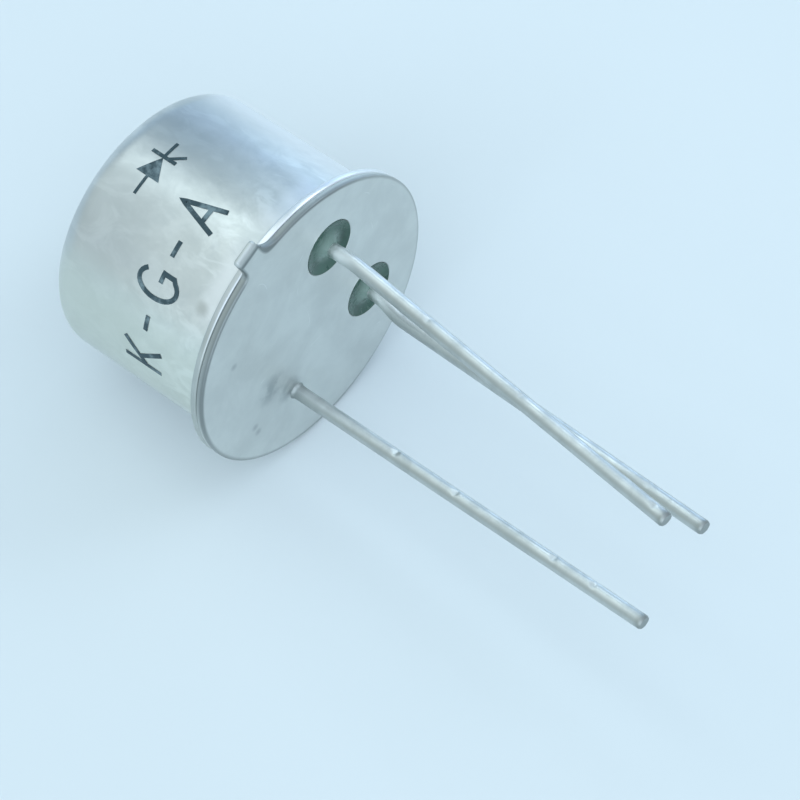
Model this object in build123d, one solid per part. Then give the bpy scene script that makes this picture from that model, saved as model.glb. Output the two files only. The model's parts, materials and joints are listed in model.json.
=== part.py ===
from build123d import *
from math import asin, atan2, cos, degrees, hypot, radians, sin
import os

# A small silicon controlled rectifier: chip on a steel header, two glass-sealed leads and one welded
# lead, closed by a drawn cap. Millimetres. Every piece is drawn in the device's own frame and laid
# down at the end. Device frame: origin on the axis in the seating plane (the header's underside),
# +Z through the cap's top, leads along -Z, and X through the cathode lead.

# Cap
CAN_D = 8.3  # outside of the straight wall
CAN_HEIGHT = 6.45  # seating plane to the flat top
CAP_SHEET = 0.22  # thickness of the drawn sheet
SHOULDER_R = 0.8  # outside, wall to top
FOOT_R = 0.3  # outside, wall to weld flange
FLANGE_WIDTH = 0.5  # weld flange beyond the wall, cap and header alike
EDGE_BREAK = 0.05  # bevel of sheared edges

# Header
HEADER_FLANGE = 0.24  # thickness of the disc under the cap's flange
PLATFORM_HEIGHT = 0.8  # seating plane to the platform that carries the chip
PLATFORM_GAP = 0.15  # platform to the inside of the cap's wall
PLATFORM_BEVEL = 0.12
TAB_LENGTH = 0.87  # beyond the flange's rim
TAB_WIDTH = 0.82
TAB_CORNER_R = 0.12
TAB_TIGHT_R = 0.25  # root on the anode side
TAB_WIDE_R = 0.75  # longer blend on the cathode side
TAB_ANGLE = -45  # about Z, from the cathode lead

# Leads and their glass
PIN_CIRCLE_D = 5.08
CATHODE_ANGLE = 0
GATE_ANGLE = 90
ANODE_ANGLE = 180
LEAD_D = 0.45
LEAD_LENGTH = 12.7  # below the seating plane
LEAD_BEND_R = 2.5  # centre line, where a lead has been bent
LEAD_END_CHAMFER = 0.04
SEAL_D = 1.78
SEAL_DISH = 0.1  # how far the glass dips between hole and lead
SEAL_RECESS = 0.03  # glass edge below the metal around it
POST_HEIGHT = 0.75  # sealed lead's end above the platform
POST_HEAD_D = 0.95  # flat nail head that takes the bond wire
POST_HEAD_T = 0.18
WELD_D = 0.8  # nugget and flash of the anode lead's butt weld
WELD_DEPTH = 0.12  # how far the nugget has sunk into the header
WELD_HEIGHT = 0.2  # flash along the lead

# Where the two sealed leads have been bent by handling: how far below the seating plane, and how far
# the centre line ends up to the side of its own place on the pin circle
CATHODE_BEND_DEPTH = 0.9
CATHODE_TIP_X = -1.09
CATHODE_TIP_Y = -0.63
GATE_BEND_DEPTH = 0.4
GATE_JOG_DEPTH = 1.3
GATE_JOG_X = -0.16
GATE_JOG_Y = -0.15
GATE_TIP_X = -0.11
GATE_TIP_Y = -0.66

# Chip
DIE_SIDE = 1.8
DIE_T = 0.24
DIE_OFFSET = 0.3  # off the device's axis, towards the middle between the two posts
SOLDER_T = 0.05
SOLDER_MARGIN = 0.1  # solder fillet beyond the chip's edge

# Bond wires
CATHODE_WIRE_D = 0.2
GATE_WIRE_D = 0.125
WIRE_FOOT = 0.32  # length of the flattened bond
WIRE_FOOT_T = 0.05
WIRE_LOOP = 0.3  # top of the loop above the post's head
WIRE_BEND_R = 0.5
CATHODE_PAD_X = 0.25  # middle of each pad, from the chip's centre
CATHODE_PAD_Y = -0.2
GATE_PAD_X = -0.3
GATE_PAD_Y = 0.55

# How it lies: turned about its own axis, with the cathode lead this far from the top
ROLL = 24

FLANGE_D = CAN_D + 2 * FLANGE_WIDTH
FLANGE_TOP = HEADER_FLANGE + CAP_SHEET
PLATFORM_D = CAN_D - 2 * (CAP_SHEET + PLATFORM_GAP)
DIE_TOP = PLATFORM_HEIGHT + SOLDER_T + DIE_T
POST_TOP = PLATFORM_HEIGHT + POST_HEIGHT


def turned(corners):
    """Solid of revolution about Z, from (radius, height, corner rounding) points."""
    section = make_face(Plane.XZ * Polyline([(r, z) for r, z, _ in corners], close=True))
    for r, z, rounding in corners:
        if rounding:
            section = fillet(section.vertices().sort_by_distance((r, 0, z))[0], rounding)
    return revolve(section, Axis.Z)


def on_pin_circle(angle):
    return Vector(PIN_CIRCLE_D / 2, 0, 0).rotate(Axis.Z, angle)


def chip_spot(height):
    """Middle of the chip at a height: on the platform, shifted towards the space between the posts."""
    return Vector(DIE_OFFSET, 0, height).rotate(Axis.Z, (CATHODE_ANGLE + GATE_ANGLE) / 2)


def make_cap():
    """One drawn sheet: flat top, shoulder, straight wall, flared foot and weld flange. Inside, both
    bends are coined to a bevel."""
    outer, rim = CAN_D / 2, FLANGE_D / 2
    inner = outer - CAP_SHEET
    ceiling = CAN_HEIGHT - CAP_SHEET
    bend = SHOULDER_R - CAP_SHEET
    flare = FOOT_R + CAP_SHEET / 2
    return turned(
        [
            (0, CAN_HEIGHT, 0),
            (outer, CAN_HEIGHT, SHOULDER_R),
            (outer, FLANGE_TOP, FOOT_R),
            (rim - EDGE_BREAK, FLANGE_TOP, 0),
            (rim, FLANGE_TOP - EDGE_BREAK, 0),
            (rim, HEADER_FLANGE + EDGE_BREAK, 0),
            (rim - EDGE_BREAK, HEADER_FLANGE, 0),
            (inner + flare, HEADER_FLANGE, 0),
            (inner, HEADER_FLANGE + flare, 0),
            (inner, ceiling - bend, 0),
            (inner - bend, ceiling, 0),
            (0, ceiling, 0),
        ]
    )


def flange_outline():
    """Round rim with the locating tab, whose two roots are blended unequally."""
    rim = FLANGE_D / 2
    reach = rim + TAB_LENGTH
    tab = Pos(reach / 2, 0) * Rectangle(reach, TAB_WIDTH)
    outline = Circle(rim) + tab
    root = (rim**2 - TAB_WIDTH**2 / 4) ** 0.5
    roots = [(root, 1, TAB_WIDE_R), (root, -1, TAB_TIGHT_R)]
    ends = [(reach, 1, TAB_CORNER_R), (reach, -1, TAB_CORNER_R)]
    for x, side, radius in roots + ends:
        corner = (x, side * TAB_WIDTH / 2, 0)
        outline = fillet(outline.vertices().sort_by_distance(corner)[0], radius)
    return Rot(0, 0, TAB_ANGLE) * outline


def make_header():
    """Stamped disc and tab with the coined platform, bored for the two seals."""
    flange = extrude(flange_outline(), HEADER_FLANGE)
    flange = chamfer(flange.faces().filter_by(Axis.Z).edges(), EDGE_BREAK)
    platform = extrude(Circle(PLATFORM_D / 2), PLATFORM_HEIGHT)
    platform = chamfer(platform.faces().sort_by(Axis.Z)[-1].edges(), PLATFORM_BEVEL)
    header = flange + platform
    for angle in (CATHODE_ANGLE, GATE_ANGLE):
        header -= Pos(on_pin_circle(angle)) * extrude(Circle(SEAL_D / 2), PLATFORM_HEIGHT)
    weld_seat = extrude(Circle(WELD_D / 2), WELD_DEPTH)
    return header - Pos(on_pin_circle(ANODE_ANGLE)) * weld_seat


def make_seal(angle):
    """Glass bead that fills the bore round a lead, dished at both ends."""
    wall, lead = SEAL_D / 2, LEAD_D / 2
    middle = (wall + lead) / 2
    low, high = SEAL_RECESS, PLATFORM_HEIGHT - SEAL_RECESS
    below = ThreePointArc((lead, low), (middle, low + SEAL_DISH), (wall, low))
    above = ThreePointArc((wall, high), (middle, high - SEAL_DISH), (lead, high))
    sides = [Line((wall, low), (wall, high)), Line((lead, high), (lead, low))]
    section = Plane.XZ * make_face([below, above, *sides])
    return Pos(on_pin_circle(angle)) * revolve(section, Axis.Z)


def make_wire(points, diameter, bend_radius):
    """Round wire along straight runs joined by tangent arcs."""
    path = FilletPolyline(*points, radius=bend_radius) if len(points) > 2 else Line(*points)
    return sweep(Plane(path @ 0, z_dir=path % 0) * Circle(diameter / 2), path)


def make_lead(angle, top, below):
    """Lead from a height on the device's axis, down through the points below to a sheared end."""
    lead = make_wire([(0, 0, top), *below], LEAD_D, LEAD_BEND_R)
    end = lead.faces().sort_by(Axis.Z)[0]
    return Pos(on_pin_circle(angle)) * chamfer(end.edges(), LEAD_END_CHAMFER)


def make_sealed_lead(angle, below):
    """Lead that passes through the glass and ends inside in a flat nail head."""
    head = Pos(0, 0, POST_TOP) * extrude(Circle(POST_HEAD_D / 2), -POST_HEAD_T)
    return make_lead(angle, POST_TOP, below) + Pos(on_pin_circle(angle)) * head


def make_cathode_lead():
    below = [(0, 0, -CATHODE_BEND_DEPTH), (CATHODE_TIP_X, CATHODE_TIP_Y, -LEAD_LENGTH)]
    return make_sealed_lead(CATHODE_ANGLE, below)


def make_gate_lead():
    jog = (GATE_JOG_X, GATE_JOG_Y, -GATE_JOG_DEPTH)
    below = [(0, 0, -GATE_BEND_DEPTH), jog, (GATE_TIP_X, GATE_TIP_Y, -LEAD_LENGTH)]
    return make_sealed_lead(GATE_ANGLE, below)


def make_anode_lead():
    """Lead butt-welded into the underside: a sunk nugget, and the hollow flash that it leaves."""
    wall, flash = LEAD_D / 2, WELD_D / 2
    waist = (wall + (flash - wall) / 3, -WELD_HEIGHT / 3)
    hollow = ThreePointArc((flash, 0), waist, (wall, -WELD_HEIGHT))
    inside = [(wall, -WELD_HEIGHT), (0, -WELD_HEIGHT), (0, WELD_DEPTH), (flash, WELD_DEPTH), (flash, 0)]
    weld = revolve(Plane.XZ * make_face([hollow, Polyline(inside)]), Axis.Z)
    lead = make_lead(ANODE_ANGLE, 0, [(0, 0, -LEAD_LENGTH)])
    return lead + Pos(on_pin_circle(ANODE_ANGLE)) * weld


def make_die_solder():
    """Solder under the chip, spreading a little past its edge."""
    base = DIE_SIDE + 2 * SOLDER_MARGIN
    lower = RectangleRounded(base, base, SOLDER_MARGIN)
    upper = RectangleRounded(DIE_SIDE, DIE_SIDE, SOLDER_MARGIN / 4)
    return loft([Pos(chip_spot(PLATFORM_HEIGHT)) * lower, Pos(chip_spot(DIE_TOP - DIE_T)) * upper])


def make_die():
    return Pos(chip_spot(DIE_TOP)) * extrude(Rectangle(DIE_SIDE, DIE_SIDE), -DIE_T)


def make_bond_wire(pad, post_angle, diameter):
    """Wire bent over from a pad on the chip to a post's head, with a flattened bond at each end."""
    post = on_pin_circle(post_angle) + Vector(0, 0, POST_TOP)
    middle = (pad + post) / 2
    peak = Vector(middle.X, middle.Y, POST_TOP + WIRE_LOOP)
    lift = Vector(0, 0, diameter / 2)
    wire = make_wire([pad + lift, peak, post + lift], diameter, WIRE_BEND_R)
    turn = degrees(atan2(post.Y - pad.Y, post.X - pad.X))
    bond = Rot(0, 0, turn) * extrude(SlotOverall(WIRE_FOOT + diameter, 1.5 * diameter), WIRE_FOOT_T)
    return wire + Pos(pad) * bond + Pos(post) * bond


def resting_tilt():
    """Angle of the line that touches the flange's edge and the shoulder, against the device's axis."""
    along = (CAN_HEIGHT - SHOULDER_R) - (FLANGE_TOP - EDGE_BREAK)
    fall = FLANGE_D / 2 - (CAN_D / 2 - SHOULDER_R)
    return degrees(atan2(fall, along) - asin(SHOULDER_R / hypot(along, fall)))


def laid_down():
    """Where the device frame goes when the device lies on its flange's edge and its shoulder."""
    tilt = radians(resting_tilt())
    height = (FLANGE_TOP - EDGE_BREAK) * sin(tilt) + FLANGE_D / 2 * cos(tilt)
    frame = Plane((0, 0, height), x_dir=(-sin(tilt), 0, cos(tilt)), z_dir=(-cos(tilt), 0, -sin(tilt)))
    return frame.location * Rot(0, 0, ROLL)


def make_pieces():
    cathode_pad = chip_spot(DIE_TOP) + Vector(CATHODE_PAD_X, CATHODE_PAD_Y, 0)
    gate_pad = chip_spot(DIE_TOP) + Vector(GATE_PAD_X, GATE_PAD_Y, 0)
    return {
        "cap": make_cap(),
        "header": make_header(),
        "cathode_seal": make_seal(CATHODE_ANGLE),
        "gate_seal": make_seal(GATE_ANGLE),
        "cathode_lead": make_cathode_lead(),
        "gate_lead": make_gate_lead(),
        "anode_lead": make_anode_lead(),
        "die_solder": make_die_solder(),
        "die": make_die(),
        "cathode_bond_wire": make_bond_wire(cathode_pad, CATHODE_ANGLE, CATHODE_WIRE_D),
        "gate_bond_wire": make_bond_wire(gate_pad, GATE_ANGLE, GATE_WIRE_D),
    }


def placement(pieces):
    """Laid down, with the origin on the surface under the middle of the whole device."""
    boxes = [(laid_down() * piece).bounding_box() for piece in pieces.values()]
    middle_x = (min(box.min.X for box in boxes) + max(box.max.X for box in boxes)) / 2
    middle_y = (min(box.min.Y for box in boxes) + max(box.max.Y for box in boxes)) / 2
    return Pos(-middle_x, -middle_y, 0) * laid_down()


os.makedirs("parts", exist_ok=True)
pieces = make_pieces()
place = placement(pieces)
for name, piece in pieces.items():
    export_step(place * piece, f"parts/{name}.step")
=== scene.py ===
"""Looks for a small silicon controlled rectifier in a metal can: fine meshes, satin plated metal,
dark glass, tinned leads and a plain pad print, on a pale floor under a soft light tent."""

import json
import math
from functools import reduce

import bmesh
import bpy
from mathutils import Matrix, Vector, noise


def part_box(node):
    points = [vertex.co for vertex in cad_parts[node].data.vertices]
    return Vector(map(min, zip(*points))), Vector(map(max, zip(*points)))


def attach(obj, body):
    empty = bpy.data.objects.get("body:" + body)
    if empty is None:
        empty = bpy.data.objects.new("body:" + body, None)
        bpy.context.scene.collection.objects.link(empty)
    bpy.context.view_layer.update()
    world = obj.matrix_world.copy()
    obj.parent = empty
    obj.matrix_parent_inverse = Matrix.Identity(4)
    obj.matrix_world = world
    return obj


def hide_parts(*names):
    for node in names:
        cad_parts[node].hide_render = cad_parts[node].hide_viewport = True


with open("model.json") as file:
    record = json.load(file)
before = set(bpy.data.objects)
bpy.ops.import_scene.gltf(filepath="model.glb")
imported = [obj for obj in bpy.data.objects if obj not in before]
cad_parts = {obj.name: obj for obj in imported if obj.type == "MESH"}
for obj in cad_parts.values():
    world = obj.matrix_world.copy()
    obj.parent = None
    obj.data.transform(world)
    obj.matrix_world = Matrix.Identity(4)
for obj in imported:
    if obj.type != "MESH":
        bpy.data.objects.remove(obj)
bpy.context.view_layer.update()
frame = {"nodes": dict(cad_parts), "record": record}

MM = 0.001

# Sizes in millimetres, in the device's own frame: origin on the axis in the seating plane, +Z through
# the cap's top, leads along -Z, X through the cathode lead. Angles are in degrees.
CAN_R, CAN_HEIGHT, CAP_SHEET = 4.15, 6.45, 0.22
SHOULDER_R, FOOT_R = 0.8, 0.3
RIM_R, RIM_EDGE = 4.65, 0.06
HEADER_FLANGE, PLATFORM_HEIGHT, PLATFORM_R, PLATFORM_BEVEL = 0.24, 0.8, 3.78, 0.12
FLANGE_TOP = HEADER_FLANGE + CAP_SHEET
TAB_ANGLE, TAB_LENGTH, TAB_WIDTH, TAB_CORNER_R = -45, 0.87, 0.82, 0.12
TAB_TIGHT_R, TAB_WIDE_R = 0.25, 0.75  # the blends at its two roots
TAB_ROLL, TAB_ROLL_DEPTH = 0.22, 0.10  # its rounded end
PIN_R, CATHODE_ANGLE, GATE_ANGLE = 2.54, 0, 90
LEAD_R, LEAD_LENGTH, BEND_R = 0.225, 12.7, 2.5
CUT_LENGTH, CUT_ROUND = 0.16, 0.05  # what the shears pinched, and the edge they rounded
POST_TOP, HEAD_R, HEAD_T, HEAD_EDGE = 1.55, 0.475, 0.18, 0.05
SEAL_R, SEAL_LIP = 0.89, 0.03
# The glass bead's outer face: how far it is set back and dished, and climbs the lead and the wall
SEAL_SINK, SEAL_DISH, SEAL_CLIMB, SEAL_EDGE = 0.02, 0.09, 0.13, 0.015
WELD_R, WELD_DEPTH, WELD_HEIGHT = 0.27, 0.12, 0.10
INK_LIFT = 0.008
CAN_WAVE, LEAD_RIPPLE = 0.006, 0.012  # unevenness: millimetres, and as a share of the radius

# Ways square to the axis, by their degrees round the can as it lies: 0 is the top of the wall, 21 the
# tab, 90 the side that faces left in the view and -90 the side that faces right.
ROUND = {-94: (0.35, 0.94, 0), -70: (0.69, 0.72, 0), -20: (1.0, -0.07, 0), -8: (0.96, -0.28, 0),
         0: (0.91, -0.41, 0), 13: (0.80, -0.60, 0), 33: (0.55, -0.835, 0), 40: (0.44, -0.90, 0),
         50: (0.28, -0.96, 0), 85: (-0.33, -0.94, 0)}

# How many sides or points the round shapes have
CAP_SIDES, RIM_POINTS, CIRCLE_POINTS, SEAL_SIDES, HEAD_SIDES, WIRE_SIDES = 288, 240, 96, 96, 48, 40

# The photograph's view
CAMERA_AZIMUTH, CAMERA_ELEVATION = math.radians(40.28), math.radians(58.80)
CAMERA_DISTANCE, CAMERA_LENS, CAMERA_SENSOR = 101.09, 160.3, 36
CAMERA_AIM_RIGHT, CAMERA_AIM_UP = 2.4675, -2.2654  # aim point from the middle of the seating plane

# Colours of the light, and of the floor
LIGHT, WARM = (0.80, 0.94, 1.07), (0.80, 0.94, 0.97)
COOL, BLUE = (0.66, 0.93, 1.13), (0.64, 0.90, 1.36)
FLOOR = (0.678, 0.728, 0.742)
FLOOR_HALF = 3.0  # metres


# ---------------------------------------------------------------- the device's frame in the row
mounts = {m["name"]: m for m in frame["record"]["mounts"]}
seat = Vector(mounts["seating_plane"]["pos_m"])
up_can = -Vector(mounts["seating_plane"]["axis"]).normalized()


def middle(node):
    low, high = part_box(node)
    return (low + high) / 2


to_cathode = middle("cathode_seal") - seat
to_cathode = (to_cathode - to_cathode.dot(up_can) * up_can).normalized()
AXES = Matrix((to_cathode, up_can.cross(to_cathode), up_can)).transposed()
DEVICE = Matrix.Translation(seat) @ AXES.to_4x4() @ Matrix.Scale(MM, 4)


def pin_place(angle):
    return PIN_R * math.cos(math.radians(angle)), PIN_R * math.sin(math.radians(angle))


# ---------------------------------------------------------------- camera
def facing(place, right, up, back):
    """Where a camera or a lamp stands, from its place and its own three axes."""
    return Matrix.Translation(place) @ Matrix((right, up, back)).transposed().to_4x4()


def place_camera():
    ca, sa = math.cos(CAMERA_AZIMUTH), math.sin(CAMERA_AZIMUTH)
    ce, se = math.cos(CAMERA_ELEVATION), math.sin(CAMERA_ELEVATION)
    right = Vector((ca, sa, 0))
    back = Vector((sa * ce, -ca * ce, se))
    up = back.cross(right)
    aim = seat + (right * CAMERA_AIM_RIGHT + up * CAMERA_AIM_UP) * MM
    data = bpy.data.cameras.new("camera")
    data.lens, data.sensor_width = CAMERA_LENS, CAMERA_SENSOR
    data.clip_start, data.clip_end = 0.005, 20
    camera = bpy.data.objects.new("camera", data)
    bpy.context.scene.collection.objects.link(camera)
    camera.matrix_world = facing(aim + back * CAMERA_DISTANCE * MM, right, up, back)
    bpy.context.scene.camera = camera


# ---------------------------------------------------------------- mesh making
def piece(name, bm, material, replaces=(), sharp=35):
    """Turns device-frame geometry into an object of the row that rides on the part."""
    bmesh.ops.recalc_face_normals(bm, faces=bm.faces)
    bmesh.ops.transform(bm, matrix=DEVICE, verts=bm.verts)
    mesh = bpy.data.meshes.new(name)
    bm.to_mesh(mesh)
    bm.free()
    mesh.shade_smooth()
    mesh.set_sharp_from_angle(angle=math.radians(sharp))
    mesh.materials.append(material)
    obj = bpy.data.objects.new(name, mesh)
    bpy.context.scene.collection.objects.link(obj)
    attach(obj, "root")
    if replaces:
        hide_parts(*replaces)
    return obj


def arc(cx, cy, radius, start, end, steps):
    """Points of an arc, angles in degrees."""
    turns = [math.radians(start + (end - start) * i / steps) for i in range(steps + 1)]
    return [(cx + radius * math.cos(t), cy + radius * math.sin(t)) for t in turns]


def circle(radius, centre=(0, 0)):
    turns = [2 * math.pi * i / CIRCLE_POINTS for i in range(CIRCLE_POINTS)]
    return [(centre[0] + radius * math.cos(t), centre[1] + radius * math.sin(t)) for t in turns]


def loop_at(bm, points, z):
    return [bm.verts.new((x, y, z)) for x, y in points]


def skin(bm, a, b):
    """Faces between two loops of as many points."""
    for i in range(len(a)):
        j = (i + 1) % len(a)
        bm.faces.new((a[i], a[j], b[j], b[i]))


def fill(bm, loops):
    """Fills a flat region between an outer loop and its holes."""
    edges = []
    for loop in loops:
        for i, v in enumerate(loop):
            w = loop[(i + 1) % len(loop)]
            edges.append(bm.edges.get((v, w)) or bm.edges.new((v, w)))
    bmesh.ops.triangle_fill(bm, use_beauty=True, use_dissolve=False, edges=edges)


def turned(bm, profile, segments, centre=(0, 0), wobble=None):
    """Revolves a closed (radius, height) profile; its points on the axis become poles."""
    rings = []
    for r, z in profile:
        if r < 1e-6:
            rings.append([bm.verts.new((centre[0], centre[1], z))])
            continue
        ring = []
        for i in range(segments):
            t = 2 * math.pi * i / segments
            radius = r + (wobble(r, z, t) if wobble else 0)
            x, y = centre[0] + radius * math.cos(t), centre[1] + radius * math.sin(t)
            ring.append(bm.verts.new((x, y, z)))
        rings.append(ring)
    for a, b in zip(rings, rings[1:] + rings[:1]):
        if len(a) == 1 and len(b) == 1:
            continue
        for i in range(segments):
            j = (i + 1) % segments
            corners = [a[i % len(a)], a[j % len(a)], b[j % len(b)], b[i % len(b)]]
            bm.faces.new(list(dict.fromkeys(corners)))


def round_path(points, bend, step):
    """Centre line through the points, its corners rounded, with a point about every step."""
    points = [Vector(p) for p in points]
    line = [points[0]]
    for a, b, c in zip(points, points[1:], points[2:]):
        into, out = (b - a).normalized(), (c - b).normalized()
        cut = bend * math.tan(into.angle(out) / 2)
        steps = 8
        start, end = b - into * cut, b + out * cut
        for i in range(steps + 1):
            s = i / steps
            line.append((1 - s) ** 2 * start + 2 * s * (1 - s) * b + s ** 2 * end)
    line.append(points[-1])
    dense = [line[0]]
    for a, b in zip(line, line[1:]):
        count = max(1, round((b - a).length / step))
        dense += [a.lerp(b, (i + 1) / count) for i in range(count)]
    return dense


def wire(bm, line, radius):
    """Sweeps a round section whose radius(angle, run) may vary; both ends are closed."""
    side = Vector((0, 1, 0))
    rings, run = [], 0
    for k, p in enumerate(line):
        ahead = (line[min(k + 1, len(line) - 1)] - line[max(k - 1, 0)]).normalized()
        side = (side - side.dot(ahead) * ahead).normalized()
        other = ahead.cross(side)
        run += (p - line[k - 1]).length if k else 0
        ring = []
        for i in range(WIRE_SIDES):
            t = 2 * math.pi * i / WIRE_SIDES
            way = side * math.cos(t) + other * math.sin(t)
            ring.append(bm.verts.new(p + way * radius(t, run)))
        rings.append(ring)
    for a, b in zip(rings, rings[1:]):
        skin(bm, a, b)
    bm.faces.new(rings[0])
    bm.faces.new(rings[-1])


# ---------------------------------------------------------------- nodes
def put(tree, socket, value):
    """Links a value to a socket if it comes from a node, or else sets it."""
    if isinstance(value, bpy.types.NodeSocket):
        tree.links.new(value, socket)
    else:
        socket.default_value = value


def add(tree, kind, inputs=None, **props):
    """A node, with its properties set and its inputs linked or set."""
    made = tree.nodes.new(kind)
    for key, value in props.items():
        setattr(made, key, value)
    for key, value in (inputs or {}).items():
        put(tree, made.inputs[key], value)
    return made


def new_material(name):
    made = bpy.data.materials.new(name)
    made.use_nodes = True
    return made, made.node_tree, made.node_tree.nodes["Principled BSDF"]


def vector_maths(tree, operation, a, b, result=0):
    return add(tree, "ShaderNodeVectorMath", {0: a, 1: b}, operation=operation).outputs[result]


def device_point(tree, stretch=(1, 1, 1)):
    """The shaded point in the device's frame, in millimetres, each axis then stretched."""
    turn = AXES.transposed()
    placed = add(tree, "ShaderNodeMapping", {
        "Vector": add(tree, "ShaderNodeTexCoord").outputs["Object"], "Location": turn @ (-seat / MM),
        "Rotation": turn.to_euler(), "Scale": (1 / MM,) * 3})
    return vector_maths(tree, "MULTIPLY", placed.outputs[0], stretch)


def grain(tree, point, scale, detail=3.0, roughness=0.55, distortion=0.0):
    return add(tree, "ShaderNodeTexNoise", {
        "Vector": point, "Scale": scale, "Detail": detail, "Roughness": roughness,
        "Distortion": distortion}).outputs["Fac"]


def ramp(tree, value, low, high, to_low=0.0, to_high=1.0):
    """Smooth step from low to high, sent to a range."""
    return add(tree, "ShaderNodeMapRange", {
        "Value": value, "From Min": low, "From Max": high, "To Min": to_low, "To Max": to_high},
        interpolation_type="SMOOTHSTEP").outputs["Result"]


def maths(tree, operation, a, b=0.0, c=0.0):
    return add(tree, "ShaderNodeMath", {0: a, 1: b, 2: c}, operation=operation).outputs[0]


def times(tree, *values):
    return reduce(lambda a, b: maths(tree, "MULTIPLY", a, b), values)


def largest(tree, *values):
    return reduce(lambda a, b: maths(tree, "MAXIMUM", a, b), values)


def smallest(tree, *values):
    return reduce(lambda a, b: maths(tree, "MINIMUM", a, b), values)


def mixed(tree, amount, a, b):
    made = add(tree, "ShaderNodeMix", {0: amount}, data_type="RGBA")
    for index, value in ((6, a), (7, b)):
        put(tree, made.inputs[index], value)
    return made.outputs[2]


def height_of(tree, point):
    return add(tree, "ShaderNodeSeparateXYZ", {0: point}).outputs["Z"]


def along(tree, point, way):
    """How far a vector runs along a direction."""
    return vector_maths(tree, "DOT_PRODUCT", point, way, "Value")


def near(tree, point, place, radius, soft):
    """1 within radius of a place, falling to 0 over soft."""
    away = vector_maths(tree, "DISTANCE", point, place, "Value")
    return ramp(tree, away, radius, radius + soft, 1.0, 0.0)


def near_pins(tree, point, z, radius, soft):
    """1 by either of the two sealed leads at that height."""
    return largest(tree, *[near(tree, point, (*pin_place(angle), z), radius, soft)
                           for angle in (CATHODE_ANGLE, GATE_ANGLE)])


def tinted(tree, shader, amount, colour):
    """Lays another colour over the shader's, by amount."""
    plain = shader.inputs["Base Color"].links[0].from_socket
    tree.links.new(mixed(tree, amount, plain, (*colour, 1)), shader.inputs["Base Color"])


def bumped(tree, shader, height, distance, strength, under=None):
    inputs = {"Height": height, "Distance": distance * MM, "Strength": strength}
    if under is not None:
        inputs["Normal"] = under
    made = add(tree, "ShaderNodeBump", inputs).outputs["Normal"]
    tree.links.new(made, shader.inputs["Normal"])
    return made


# ---------------------------------------------------------------- materials
def satin_metal(name, dark, light, rough, blotch, streak, bump):
    """Plated sheet: blotches in tone and gloss, faint draw lines, fine grain."""
    made, tree, shader = new_material(name)
    point = device_point(tree)
    soft = grain(tree, point, blotch, 4, 0.6, 0.4)
    lines = grain(tree, device_point(tree, streak), 1.0, 3, 0.6)
    tone = maths(tree, "ADD", times(tree, soft, 0.6), times(tree, lines, 0.4))
    colour = mixed(tree, ramp(tree, tone, 0.36, 0.64), (*dark, 1), (*light, 1))
    put(tree, shader.inputs["Base Color"], colour)
    uneven = times(tree, maths(tree, "SUBTRACT", lines, 0.5), 0.08)
    gloss = maths(tree, "ADD", ramp(tree, soft, 0.3, 0.7, rough[1], rough[0]), uneven)
    put(tree, shader.inputs["Roughness"], gloss)
    put(tree, shader.inputs["Metallic"], 1.0)
    fine = grain(tree, point, 14.0, 2, 0.5)
    under = bumped(tree, shader, fine, bump, 0.6)
    bumped(tree, shader, soft, 0.016, 0.5, under)
    return made, tree, shader


def cap_material():
    """Bright drawn sheet with pale rub marks above the flange, painted shade towards the top and on
    its sides, and painted highlights and shade by the flange.
    """
    made, tree, shader = satin_metal(
        "cap_plate", dark=(0.64, 0.665, 0.655), light=(0.77, 0.79, 0.78), rough=(0.315, 0.39),
        blotch=0.7, streak=(1.5, 1.5, 0.7), bump=0.0002)
    point = device_point(tree)
    height = height_of(tree, point)

    def up(*steps):
        return ramp(tree, height, *steps)

    def towards(degrees, *steps):
        return ramp(tree, along(tree, point, ROUND[degrees]), *steps)

    def tint(colour, *amounts):
        tinted(tree, shader, times(tree, *amounts), colour)

    # Painted shade: darker towards the cap's top, most of all round 50 and -20 degrees
    tint((0.52, 0.55, 0.57), up(1.8, 5.6, 0.0, 0.45))
    side = largest(tree, towards(50, 3.1, 4.1), towards(-20, 3.7, 4.1, 0.0, 0.8))
    tint((0.46, 0.49, 0.50), side, up(2.2, 5.0, 0.0, 0.4))
    # Mottle all over, and pale rub marks that thin out upwards
    tint((0.57, 0.60, 0.605), ramp(tree, grain(tree, point, 1.5, 3, 0.6, 0.3), 0.48, 0.68), 0.45)
    rub = grain(tree, device_point(tree, (1.3, 1.3, 0.7)), 1.0, 3, 0.65, 0.8)
    tint((0.90, 0.92, 0.92), ramp(tree, rub, 0.46, 0.62), up(0.9, 2.8, 0.7, 0.15))
    # Painted highlights: brighter just above the flange on both sides of the tab, and all along the
    # right side
    low = largest(tree, towards(-8, 3.9, 4.12), towards(33, 3.8, 4.13, 0.0, 0.8))
    low = times(tree, low, up(0.8, 1.5, 0.8, 0.0))
    tint((0.94, 0.95, 0.97), largest(tree, low, towards(-70, 3.0, 4.0, 0.0, 0.8)))
    # Painted shade: greyer between those two low highlights
    tint((0.50, 0.53, 0.54), up(0.9, 1.5, 0.5, 0.0), up(0.5, 0.75), towards(13, 4.06, 4.15))
    # Painted reflection: the left side is yellower. Painted shade: dark in the crevice above the
    # flange
    tint((0.75, 0.78, 0.65), towards(85, 3.2, 4.1, 0.0, 0.5))
    tint((0.36, 0.385, 0.39), up(FLANGE_TOP, FLANGE_TOP + 0.1, 0.6, 0.0), towards(85, 3.0, 4.4))
    # One smudge, and painted shade on the flange's own edge by the tab
    tint((0.36, 0.38, 0.35), near(tree, point, (1.42, -3.90, 1.1), 0.04, 0.3), 0.5)
    tint((0.42, 0.45, 0.45), towards(40, 4.35, 4.55, 0.0, 0.6))
    return made


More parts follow.
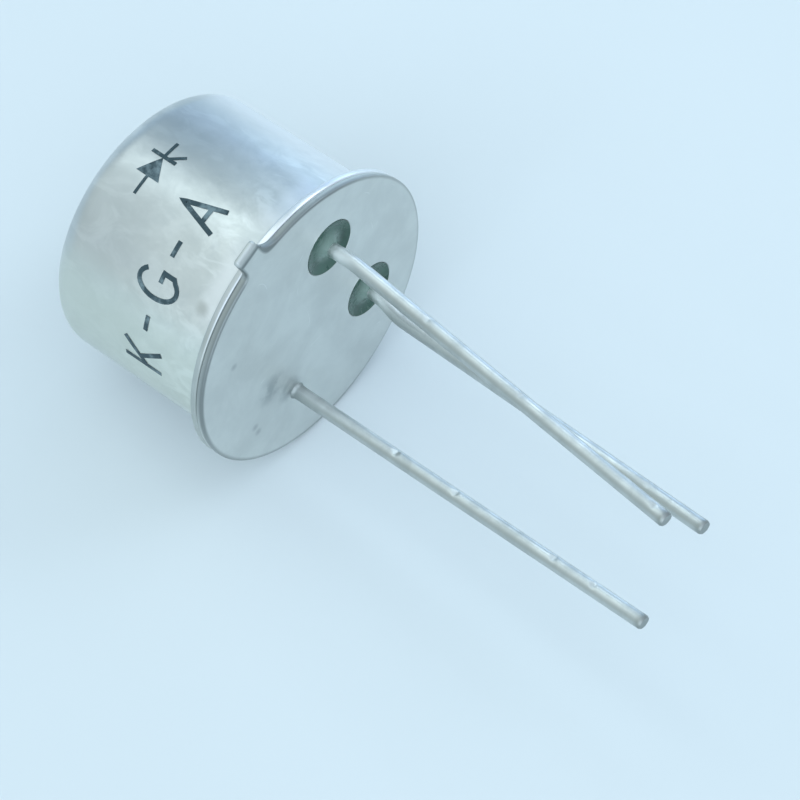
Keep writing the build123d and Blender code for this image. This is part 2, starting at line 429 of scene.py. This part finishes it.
def header_material():
    """Matte plate: fine scratches, specks, dark patches by the welded lead, and painted shade along
    the stamped edge.
    """
    made, tree, shader = satin_metal(
        "header_plate", dark=(0.62, 0.65, 0.635), light=(0.69, 0.72, 0.70), rough=(0.42, 0.52),
        blotch=0.5, streak=(0.8, 0.8, 0.8), bump=0.002)
    point = device_point(tree)
    wander = grain(tree, point, 0.35, 1, 0.4, 0.6)
    crossing = maths(tree, "ABSOLUTE", maths(tree, "SUBTRACT", wander, 0.5))
    scratch = times(tree, ramp(tree, crossing, 0.0008, 0.003, 0.32, 0.0),
                    ramp(tree, grain(tree, point, 0.9), 0.54, 0.64))
    tinted(tree, shader, scratch, (0.95, 0.97, 0.97))
    for place in ((-0.15, -3.4, 0), (-3.1, -1.7, 0), (-3.35, -1.5, 0)):
        speck = near(tree, point, place, 0.02, 0.16)
        tinted(tree, shader, times(tree, speck, 0.5), (0.34, 0.37, 0.38))
    # Darker patches beside the welded lead
    dark_patch = largest(tree, near(tree, point, (-2.3, -0.4, 0), 0.1, 0.5),
                    near(tree, point, (-1.9, -1.3, 0), 0.1, 0.7))
    dark_patch = times(tree, dark_patch, ramp(tree, grain(tree, point, 1.8, 3), 0.4, 0.62, 0.1, 0.6))
    tinted(tree, shader, dark_patch, (0.30, 0.34, 0.35))
    # Painted shade along the edge of the disc and the tab
    tinted(tree, shader, painted_edge_shade(tree, point), (0.20, 0.225, 0.225))
    return made


def painted_edge_shade(tree, point):
    """Painted shade: the dark line at the stamped edge of the disc and the tab, 0 on the face. It is
    stronger and thinner at the top, and weaker on the tab's end, on the edge's wall and on the right."""
    flat = vector_maths(tree, "MULTIPLY", point, (1, 1, 0))
    radius = add(tree, "ShaderNodeVectorMath", {0: flat}, operation="LENGTH").outputs["Value"]
    turn = math.radians(TAB_ANGLE)
    out = along(tree, point, (math.cos(turn), math.sin(turn), 0))
    across = maths(tree, "ABSOLUTE", along(tree, point, (-math.sin(turn), math.cos(turn), 0)))
    end = RIM_R + TAB_LENGTH - TAB_ROLL
    tab = smallest(tree, maths(tree, "SUBTRACT", TAB_WIDTH / 2, across),
                   maths(tree, "SUBTRACT", end, out), maths(tree, "SUBTRACT", out, RIM_R - 0.6))
    inside = maths(tree, "SMOOTH_MAX", maths(tree, "SUBTRACT", RIM_R, radius), tab, 0.6)
    upper = ramp(tree, along(tree, point, ROUND[0]), -2.5, 1.5)
    line = ramp(tree, inside, 0.02, maths(tree, "MULTIPLY_ADD", upper, -0.05, 0.16), 1.0, 0.0)
    tab_end = ramp(tree, out, end, end + 0.12, 1.0, 0.3)
    wall = ramp(tree, height_of(tree, point), 0.06, 0.16)
    dark = ramp(tree, along(tree, point, ROUND[40]), 2.4, 4.2, 0.2, 0.7)
    on_wall = maths(tree, "ADD", maths(tree, "SUBTRACT", 1.0, wall), times(tree, wall, dark))
    right = ramp(tree, along(tree, point, ROUND[-94]), 0.5, 3.5, 1.0, 0.5)
    return times(tree, line, tab_end, on_wall, right, ramp(tree, upper, 0.0, 1.0, 0.6, 0.85))


def lead_material():
    """Dipped tin: painted shade on the side that faces the front, a painted highlight where it leaves
    the glass, and dark at the cut and at the weld."""
    made, tree, shader = satin_metal(
        "lead_tin", dark=(0.55, 0.58, 0.57), light=(0.71, 0.74, 0.73), rough=(0.33, 0.46),
        blotch=1.4, streak=(2.5, 2.5, 0.5), bump=0.005)
    point = device_point(tree)
    cut = ramp(tree, height_of(tree, point), -LEAD_LENGTH + 0.02, -LEAD_LENGTH + 0.3, 0.8, 0.0)
    tinted(tree, shader, cut, (0.26, 0.28, 0.27))
    # Painted shade on the side of the wire that faces the front
    normal = add(tree, "ShaderNodeNewGeometry").outputs["Normal"]
    front = add(tree, "ShaderNodeSeparateXYZ", {0: normal}).outputs["Y"]
    painted_front_shade = times(tree, ramp(tree, front, -0.75, -0.25, 0.72, 0.0),
                 ramp(tree, front, -0.98, -0.8, 0.5, 1.0))
    tinted(tree, shader, painted_front_shade, (0.35, 0.38, 0.36))
    # Painted highlight where the wire leaves the glass
    painted_root_highlight = near_pins(tree, point, 0, 0.35, 0.9)
    tinted(tree, shader, times(tree, painted_root_highlight, 0.85), (0.93, 0.96, 0.94))
    root = near(tree, point, (-PIN_R, 0, 0), 0.2, 0.35)
    tinted(tree, shader, times(tree, root, 0.5), (0.26, 0.29, 0.29))
    return made


def glass_material():
    """Dark green glass with a swirl, paler round the lead."""
    made, tree, shader = new_material("seal_glass")
    point = device_point(tree)
    swirl = grain(tree, point, 1.8, 3, 0.6, 0.6)
    colour = mixed(tree, swirl, (0.006, 0.032, 0.021, 1), (0.062, 0.142, 0.106, 1))
    put(tree, shader.inputs["Base Color"], colour)
    pale_ring = near_pins(tree, point, -0.05, 0.26, 0.40)
    tinted(tree, shader, times(tree, pale_ring, 0.70), (0.22, 0.31, 0.27))
    put(tree, shader.inputs["Roughness"], ramp(tree, swirl, 0.3, 0.7, 0.2, 0.36))
    put(tree, shader.inputs["IOR"], 1.52)
    bumped(tree, shader, grain(tree, point, 3.0), 0.008, 0.4)
    return made


def ink_material():
    """Blue-black ink, worn grey in patches."""
    made, tree, shader = new_material("pad_print_ink")
    point = device_point(tree)
    worn = ramp(tree, grain(tree, point, 2.2, 5, 0.65), 0.46, 0.70)
    colour = mixed(tree, worn, (0.022, 0.048, 0.058, 1), (0.16, 0.22, 0.235, 1))
    put(tree, shader.inputs["Base Color"], colour)
    put(tree, shader.inputs["Roughness"], ramp(tree, worn, 0, 1, 0.55, 0.7))
    bumped(tree, shader, grain(tree, point, 20.0), 0.002, 0.4)
    return made


def inner_material(name, dark, light, metallic, rough, scale):
    """A plain spotted finish for the pieces inside the can."""
    made, tree, shader = new_material(name)
    spots = grain(tree, device_point(tree), scale, 3, 0.6)
    put(tree, shader.inputs["Base Color"], mixed(tree, spots, (*dark, 1), (*light, 1)))
    put(tree, shader.inputs["Roughness"], ramp(tree, spots, 0.3, 0.7, rough, rough + 0.15))
    put(tree, shader.inputs["Metallic"], metallic)
    bumped(tree, shader, spots, 0.004, 0.5)
    return made


# ---------------------------------------------------------------- the pieces
def make_cap(material):
    """Drawn cap, its sheet closed inside as well, with a flared foot and a soft-edged weld flange."""
    inner, top = CAN_R - CAP_SHEET, CAN_HEIGHT
    shoulder = CAN_R - SHOULDER_R
    rim = RIM_R - RIM_EDGE
    profile = [(shoulder * i / 6, top) for i in range(6)]
    profile += arc(shoulder, top - SHOULDER_R, SHOULDER_R, 90, 0, 20)
    profile += [(CAN_R, z) for z in (5.2, 4.6, 4.0, 3.4, 2.8, 2.2, 1.6, 1.1)]
    profile += arc(CAN_R + FOOT_R, FLANGE_TOP + FOOT_R, FOOT_R, 180, 270, 12)
    profile += arc(rim, FLANGE_TOP - RIM_EDGE, RIM_EDGE, 90, 0, 5)
    profile += arc(rim, HEADER_FLANGE + RIM_EDGE, RIM_EDGE, 0, -90, 5)
    flare = FOOT_R + CAP_SHEET / 2
    profile += [(inner + flare, HEADER_FLANGE), (inner, HEADER_FLANGE + flare)]
    profile += arc(shoulder, top - SHOULDER_R, SHOULDER_R - CAP_SHEET, 0, 90, 10)
    profile += [(0, top - CAP_SHEET)]

    def wobble(r, z, t):
        """The faint waviness of the outside, which dies out at the cap's top."""
        spot = Vector((3 * math.cos(t), 3 * math.sin(t), z * 0.5))
        outside = min(1, max(0, (top - z) / 0.8)) if r > 3 else 0
        return CAN_WAVE * noise.noise(spot * 0.6) * outside

    bm = bmesh.new()
    turned(bm, profile, CAP_SIDES, wobble=wobble)
    return piece("cap_shell", bm, material, ["cap"])


def flange_outline(inset, roll=0.0):
    """Points round the header's flange and tab, moved inwards by inset, the tab's end by roll too."""
    rim, half = RIM_R, TAB_WIDTH / 2
    reach = rim + TAB_LENGTH - roll

    def blend(side, radius):
        """Where a root's fillet leaves the rim, and the fillet's points, with the tab along X."""
        cy = half + radius
        cx = math.sqrt((rim + radius) ** 2 - cy ** 2)
        start = math.degrees(math.atan2(cy, cx))
        return start, [(x, side * y) for x, y in arc(cx, cy, radius, 180 + start, 270, 10)]

    wide_start, wide = blend(1, TAB_WIDE_R)
    tight_start, tight = blend(-1, TAB_TIGHT_R)
    points = []
    for i in range(1, RIM_POINTS):
        a = math.radians(wide_start + (360 - tight_start - wide_start) * i / RIM_POINTS)
        points.append((rim * math.cos(a), rim * math.sin(a)))
    points += tight
    points += arc(reach - TAB_CORNER_R, -half + TAB_CORNER_R, TAB_CORNER_R, -90, 0, 6)
    points += arc(reach - TAB_CORNER_R, half - TAB_CORNER_R, TAB_CORNER_R, 0, 90, 6)
    points += wide[::-1]
    cos_tab, sin_tab = math.cos(math.radians(TAB_ANGLE)), math.sin(math.radians(TAB_ANGLE))
    moved = []
    for k, (x, y) in enumerate(points):
        (ax, ay), (bx, by) = points[k - 1], points[(k + 1) % len(points)]
        nx, ny = by - ay, ax - bx
        size = math.hypot(nx, ny)
        x, y = x - inset * nx / size, y - inset * ny / size
        moved.append((x * cos_tab - y * sin_tab, x * sin_tab + y * cos_tab))
    return moved


def make_header(material):
    """Stamped disc and tab with soft edges, its platform, and the two bores."""
    bm = bmesh.new()
    loops = []
    for i in range(9):
        a = math.pi / 2 * i / 8
        inset, rise = RIM_EDGE * (1 - math.sin(a)), RIM_EDGE * (1 - math.cos(a))
        loop = loop_at(bm, flange_outline(inset, TAB_ROLL * (1 - math.sin(a))), rise)
        for v in loop:
            out = (math.hypot(v.co.x, v.co.y) - RIM_R) / TAB_LENGTH
            v.co.z += TAB_ROLL_DEPTH * (1 - math.cos(a)) * min(1, max(0, 1.4 * out - 0.2))
        loops.append(loop)
    for i in range(5, -1, -1):
        a = math.pi / 2 * i / 5
        inset, drop = RIM_EDGE * (1 - math.sin(a)), RIM_EDGE * (1 - math.cos(a))
        loops.append(loop_at(bm, flange_outline(inset), HEADER_FLANGE - drop))
    bores = []
    for angle in (CATHODE_ANGLE, GATE_ANGLE):
        place = pin_place(angle)
        bores.append([loop_at(bm, circle(SEAL_R + SEAL_LIP, place), 0),
                      loop_at(bm, circle(SEAL_R, place), SEAL_LIP),
                      loop_at(bm, circle(SEAL_R, place), PLATFORM_HEIGHT)])
    platform = [loop_at(bm, circle(PLATFORM_R), HEADER_FLANGE),
                loop_at(bm, circle(PLATFORM_R), PLATFORM_HEIGHT - PLATFORM_BEVEL),
                loop_at(bm, circle(PLATFORM_R - PLATFORM_BEVEL), PLATFORM_HEIGHT)]
    for stack in (loops, *bores, platform):
        for a, b in zip(stack, stack[1:]):
            skin(bm, a, b)
    fill(bm, [loops[0], *(bore[0] for bore in bores)])
    fill(bm, [loops[-1], platform[0]])
    fill(bm, [platform[-1], *(bore[-1] for bore in bores)])
    return piece("header_plate", bm, material, ["header"])


def make_seal(name, node, angle, material):
    """Glass bead with a dished face that climbs the lead in a meniscus."""
    profile = []
    for i in range(17):
        s = i / 16
        dish = SEAL_SINK + SEAL_DISH * math.sin(math.pi * s ** 0.8)
        height = dish - SEAL_CLIMB * (1 - s) ** 4 - SEAL_EDGE * s ** 8
        profile.append((LEAD_R + (SEAL_R - LEAD_R) * s, height))
    profile += [(SEAL_R, PLATFORM_HEIGHT - 0.03), ((SEAL_R + LEAD_R) / 2, PLATFORM_HEIGHT - 0.1),
                (LEAD_R, PLATFORM_HEIGHT - 0.03)]
    bm = bmesh.new()
    turned(bm, profile, SEAL_SIDES, pin_place(angle))
    return piece(name, bm, material, [node])


def make_lead(name, node, material, seed, route, nicks, welded=False):
    """Tinned wire with ripples and nicks, with a nail head inside the can or a weld on the header.
    A nick is (run from the top, angle, depth, length), deepest at seven tenths of its length."""
    line = round_path(route, BEND_R, 0.06)
    total = sum((b - a).length for a, b in zip(line, line[1:]))

    def radius(t, run):
        ripple = noise.noise(Vector((math.cos(t), math.sin(t), run * 0.9 + seed)))
        r = LEAD_R * (1 + LEAD_RIPPLE * ripple)
        for at, angle, depth, length in nicks:
            s = (run - at) / length
            face = math.cos(t - math.radians(angle))
            if 0 < s < 1 and face > 0.2:
                r = min(r, (LEAD_R - depth * min(s / 0.7, (1 - s) / 0.3)) / face)
        if welded and run < WELD_DEPTH + WELD_HEIGHT:
            s = max(0, (run - WELD_DEPTH) / WELD_HEIGHT)
            r = max(r, LEAD_R + (WELD_R - LEAD_R) * (1 - s) ** 2.2)
        end = total - run
        if end < CUT_LENGTH:
            r *= 1 + (1 - end / CUT_LENGTH) * 0.07 * math.cos(2 * t)
        if end < CUT_ROUND:
            r *= 0.86 + 0.14 * math.sqrt(max(0, 1 - (1 - end / CUT_ROUND) ** 2))
        return r

    bm = bmesh.new()
    wire(bm, line, radius)
    if not welded:
        top, bottom, side = POST_TOP, POST_TOP - HEAD_T, HEAD_R - HEAD_EDGE
        profile = [(0, top), *arc(side, top - HEAD_EDGE, HEAD_EDGE, 90, 0, 4),
                   *arc(side, bottom + HEAD_EDGE, HEAD_EDGE, 0, -90, 4), (0, bottom)]
        turned(bm, profile, HEAD_SIDES, route[0][:2])
    return piece(name, bm, material, [node], sharp=50)


def make_leads(material):
    make_lead(
        "cathode_wire", "cathode_lead", material, 3,
        route=[(PIN_R, 0, POST_TOP), (PIN_R, 0, -0.9), (PIN_R - 1.09, -0.63, -LEAD_LENGTH)],
        nicks=[(5.2, 112, 0.035, 0.25), (8.8, 108, 0.03, 0.2), (13.7, 114, 0.035, 0.25)])
    make_lead(
        "gate_wire", "gate_lead", material, 11,
        route=[(0, PIN_R, POST_TOP), (0, PIN_R, -0.4), (-0.16, PIN_R - 0.15, -1.3),
               (-0.11, PIN_R - 0.66, -LEAD_LENGTH)],
        nicks=[(12.1, 112, 0.03, 0.25)])
    make_lead(
        "anode_wire", "anode_lead", material, 23,
        route=[(-PIN_R, 0, WELD_DEPTH), (-PIN_R, 0, -LEAD_LENGTH)],
        nicks=[(3.7, 110, 0.045, 0.3), (5.95, 114, 0.04, 0.25), (9.45, 108, 0.045, 0.3),
               (10.9, 114, 0.04, 0.25)],
        welded=True)


def dress_inner():
    """Finishes for the solids inside the can, which keep their own shapes."""
    inner = {
        "die_solder": inner_material(
            "die_solder", (0.42, 0.43, 0.45), (0.6, 0.6, 0.6), 1.0, 0.3, 3.0),
        "die": inner_material("silicon", (0.05, 0.055, 0.07), (0.09, 0.10, 0.12), 0.3, 0.12, 2.0),
        "cathode_bond_wire": inner_material(
            "bond_wire", (0.78, 0.79, 0.8), (0.9, 0.9, 0.91), 1.0, 0.25, 8.0),
    }
    inner["gate_bond_wire"] = inner["cathode_bond_wire"]
    for node, material in inner.items():
        mesh = frame["nodes"][node].data
        mesh.materials.clear()
        mesh.materials.append(material)


# ---------------------------------------------------------------- pad print
def on_wall(u, v):
    """A point of the can's wall: u mm round it from the tab's middle towards the anode lead's side,
    and v mm up."""
    turn = math.radians(TAB_ANGLE) - u / CAN_R
    r = CAN_R + INK_LIFT
    return r * math.cos(turn), r * math.sin(turn), v


def stroke(bm, points, width):
    """A line of ink that follows the wall, with square ends."""
    half, line = width / 2, [Vector(points[0])]
    for a, b in zip(points, points[1:]):
        a, b = Vector(a), Vector(b)
        count = max(1, math.ceil((b - a).length / 0.1))
        line += [a.lerp(b, (i + 1) / count) for i in range(count)]
    columns = []
    for k, p in enumerate(line):
        before, after = line[max(k - 1, 0)], line[min(k + 1, len(line) - 1)]
        way = (after - before).normalized()
        off = Vector((-way.y, way.x)) * half
        into = (p - before).normalized() if k else way
        out = (after - p).normalized() if k < len(line) - 1 else way
        off /= max(0.5, math.cos(into.angle(out, 0) / 2))
        columns.append([bm.verts.new(on_wall(q.x, q.y)) for q in (p + off, p, p - off)])
    for a, b in zip(columns, columns[1:]):
        for i in range(2):
            bm.faces.new((a[i], a[i + 1], b[i + 1], b[i]))


def filled(bm, corners):
    """A filled triangle of ink, divided so that it follows the wall."""
    a, b, c = (Vector(p) for p in corners)
    count = 14
    rows = []
    for i in range(count + 1):
        left, right = a.lerp(b, i / count), a.lerp(c, i / count)
        spots = [left.lerp(right, j / i if i else 0) for j in range(i + 1)]
        rows.append([bm.verts.new(on_wall(*spot)) for spot in spots])
    for i in range(count):
        for j in range(i + 1):
            bm.faces.new((rows[i][j], rows[i + 1][j], rows[i + 1][j + 1]))
            if j < i:
                bm.faces.new((rows[i][j], rows[i + 1][j + 1], rows[i][j + 1]))


# Strokes of each letter, in a cell as high as 1
LETTERS = {
    "K": [[(0, 0), (0, 1)], [(0.62, 1), (0.04, 0.42)], [(0.2, 0.58), (0.66, 0)]],
    "A": [[(0, 0), (0.34, 1), (0.68, 0)], [(0.12, 0.34), (0.56, 0.34)]],
    "G": [[(0.36 + 0.36 * math.cos(math.radians(a)), 0.5 + 0.5 * math.sin(math.radians(a)))
           for a in range(48, 316, 12)] + [(0.68, 0.18), (0.68, 0.46), (0.42, 0.46)]],
}


def make_print(material):
    """Generic pad print: a thyristor's circuit symbol over the letters of its three terminals."""
    bm = bmesh.new()
    base, height, narrow, pen = 2.02, 1.36, 0.85, 0.15
    for letter, u in (("K", 4.75), ("G", 2.35), ("A", -0.05)):
        for line in LETTERS[letter]:
            stroke(bm, [(u - x * height * narrow, base + y * height) for x, y in line], pen)
    for u in (3.45, 1.05):
        stroke(bm, [(u, base + 0.66), (u - 0.5, base + 0.66)], pen)

    def placed(*points):
        """Points of the symbol, given from its middle."""
        return [(-0.80 + u, 4.76 + v) for u, v in points]

    filled(bm, placed((-0.36, 0), (0.34, 0.42), (0.34, -0.42)))
    for start, end, width in (((-0.40, 0.44), (-0.40, -0.44), 0.12),  # the bar
                              ((0.95, 0), (0.3, 0), 0.1),  # the anode
                              ((-0.4, 0), (-0.98, 0), 0.1),  # the cathode
                              ((-0.42, -0.16), (-0.74, -0.56), 0.1)):  # the gate
        stroke(bm, placed(start, end), width)
    return piece("pad_print", bm, material)


# ---------------------------------------------------------------- floor, light
def make_floor():
    made, tree, shader = new_material("floor_paper")
    soft = grain(tree, add(tree, "ShaderNodeTexCoord").outputs["Object"], 18.0, 2, 0.5)
    colour = mixed(tree, soft, (*[c * 0.995 for c in FLOOR], 1), (*FLOOR, 1))
    put(tree, shader.inputs["Base Color"], colour)
    put(tree, shader.inputs["Roughness"], 0.9)
    put(tree, shader.inputs["Specular IOR Level"], 0.1)
    bm = bmesh.new()
    corners = ((-1, -1), (1, -1), (1, 1), (-1, 1))
    bm.faces.new([bm.verts.new((x * FLOOR_HALF, y * FLOOR_HALF, 0)) for x, y in corners])
    mesh = bpy.data.meshes.new("floor")
    bm.to_mesh(mesh)
    bm.free()
    mesh.materials.append(made)
    floor = bpy.data.objects.new("floor", mesh)
    bpy.context.scene.collection.objects.link(floor)


def make_world():
    """A light tent. Towards the cap's end, which the wall mirrors, its tone goes round the axis from
    the front over the top to the back. Towards the leads, which the base mirrors, it is white, and
    brighter overhead and in front."""
    world = bpy.data.worlds.new("tent")
    bpy.context.scene.world = world
    world.use_nodes = True
    tree = world.node_tree
    back = tree.nodes["Background"]
    way = add(tree, "ShaderNodeTexCoord").outputs["Generated"]
    axes = add(tree, "ShaderNodeSeparateXYZ", {0: way}).outputs
    lean = maths(tree, "ARCTAN2", axes["Y"], axes["Z"])
    place = maths(tree, "ADD", maths(tree, "DIVIDE", lean, 2 * math.pi), 0.5)
    tent = add(tree, "ShaderNodeValToRGB", {0: place})
    tent.color_ramp.interpolation = "B_SPLINE"
    stops = tent.color_ramp.elements
    # Degrees from straight up towards the back, brightness, tint
    tones = ((-90, 0.80, WARM), (-57, 0.83, WARM), (-30, 0.94, WARM), (-5, 0.94, WARM),
             (20, 0.78, WARM), (36, 0.58, COOL), (64, 0.52, COOL), (82, 0.90, BLUE), (95, 1.15, BLUE))
    while len(stops) < len(tones):
        stops.new(0.5)
    for stop, (angle, level, tint) in zip(stops, tones):
        stop.position = angle / 360 + 0.5
        stop.color = (*[level * c for c in tint], 1)
    leads_end = ramp(tree, axes["X"], -0.35, 0.05)
    high = times(tree, axes["Z"], axes["Z"], 0.45)
    front = ramp(tree, axes["Y"], 0.2, -0.9)
    level = maths(tree, "ADD", maths(tree, "ADD", high, front), 0.68)
    white = add(tree, "ShaderNodeVectorMath", {0: LIGHT, "Scale": level}, operation="SCALE")
    sky = mixed(tree, leads_end, tent.outputs["Color"], white.outputs[0])
    put(tree, back.inputs["Color"], sky)
    put(tree, back.inputs["Strength"], 1.0)


def make_lamp(name, way, distance, size, radiance, tint=LIGHT, glossy=True):
    """A soft box in that direction, facing the part; its size is its length along X and its width,
    in metres. One that isn't glossy lights only what is matte."""
    data = bpy.data.lights.new(name, "AREA")
    data.shape, data.size, data.size_y = "RECTANGLE", size[0], size[1]
    data.color = tint
    data.energy = radiance * math.pi * size[0] * size[1]
    lamp = bpy.data.objects.new(name, data)
    bpy.context.scene.collection.objects.link(lamp)
    back = Vector(way).normalized()
    right = (Vector((1, 0, 0)) - back * back.x).normalized()
    lamp.matrix_world = facing(seat + back * distance, right, back.cross(right), back)
    lamp.visible_glossy = glossy


def make_lamps():
    make_lamp("strip", (-0.49, 0.06, 0.80), 0.30, (0.24, 0.06), 0.86, WARM)
    make_lamp("glint", (-0.10, 0.61, 0.78), 0.022, (0.014, 0.006), 2.0)
    make_lamp("edge", (-0.25, 0.95, 0.16), 0.12, (0.05, 0.03), 1.25, BLUE)
    make_lamp("key", (0.42, 0.70, 0.58), 0.40, (0.16, 0.16), 2.1, glossy=False)
    make_lamp("fill", (-0.20, -0.86, 0.46), 0.35, (0.24, 0.10), 2.2, glossy=False)


def main():
    bpy.context.scene.view_settings.view_transform = "Standard"
    place_camera()
    make_floor()
    make_world()
    make_lamps()
    make_cap(cap_material())
    make_header(header_material())
    glass = glass_material()
    make_seal("cathode_glass", "cathode_seal", CATHODE_ANGLE, glass)
    make_seal("gate_glass", "gate_seal", GATE_ANGLE, glass)
    make_leads(lead_material())
    make_print(ink_material())
    dress_inner()


main()
